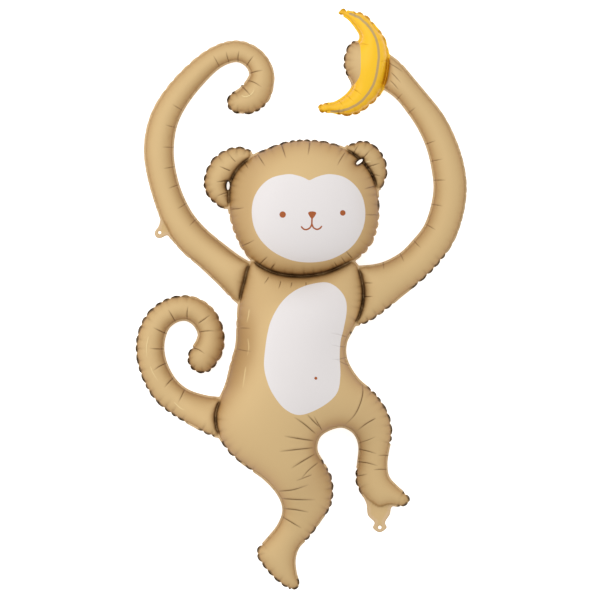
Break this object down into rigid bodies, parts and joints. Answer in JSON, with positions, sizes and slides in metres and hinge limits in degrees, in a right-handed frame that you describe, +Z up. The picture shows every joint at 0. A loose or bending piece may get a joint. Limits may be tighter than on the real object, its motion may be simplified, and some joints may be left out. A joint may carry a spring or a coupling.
{
  "type": "monkey foil balloon",
  "caption": "Inflated foil balloon of a monkey that lies on its back, with long arms, a curled tail and a banana in one raised fist.",
  "frame": {"origin": "centre of the bounding box, on the floor that the back rests on", "axes": "+Z up, out of the monkey's front; +Y towards the raised hands; +X towards the arm that holds the banana"},
  "size_m": [0.5696, 0.9988, 0.1587],
  "materials": {
    "beige_foil": "satin metallised polyester foil, printed beige",
    "white_print": "white print of the face and the belly",
    "yellow_print": "glossy yellow print of the banana",
    "brown_print": "brown print of the eyes, nose, mouth and navel"
  },
  "bodies": {
    "root": {"monkey_balloon": "beige_foil"}
  },
  "joints": []
}
